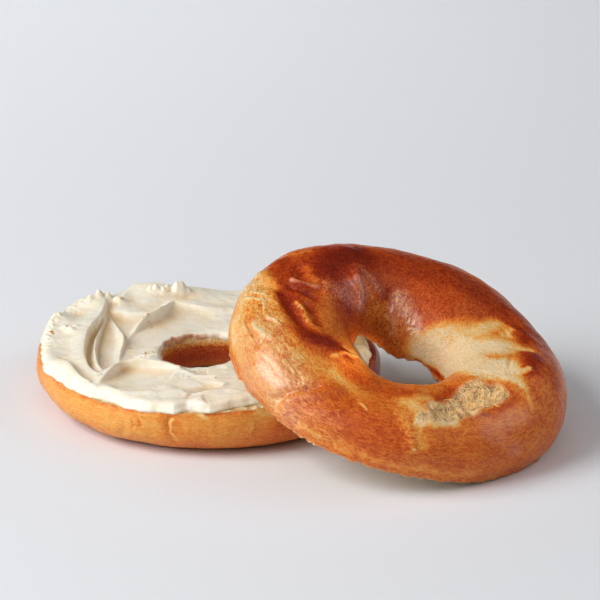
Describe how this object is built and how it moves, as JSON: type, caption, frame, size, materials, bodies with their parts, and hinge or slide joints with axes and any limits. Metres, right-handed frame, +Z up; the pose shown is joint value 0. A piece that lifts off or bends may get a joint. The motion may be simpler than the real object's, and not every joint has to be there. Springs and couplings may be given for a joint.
{
  "type": "bagel with cream cheese",
  "caption": "Ring-shaped bread cut through: the lower half lies flat with a thick white spread on its cut face, and the upper half leans against it, crust up.",
  "frame": {"origin": "on the table, under the middle of the box round both halves", "axes": "X to the right in the picture, along the longer side of the pair; Y away from the viewer; Z up"},
  "size_m": [0.1707, 0.1412, 0.0522],
  "materials": {
    "bottom_crust": "satin golden brown baked crust, fine wrinkles, paler at the cut rim",
    "soft_cheese": "soft off-white spread with a dull sheen, drawn into ridges by a knife",
    "top_crust": "glossy reddish brown baked crust, golden where the dough stretched, fine wrinkles and dark blisters"
  },
  "bodies": {
    "root": {"bagel_lower_half": "bottom_crust", "cream_cheese": "soft_cheese", "bagel_upper_half": "top_crust"}
  },
  "joints": []
}
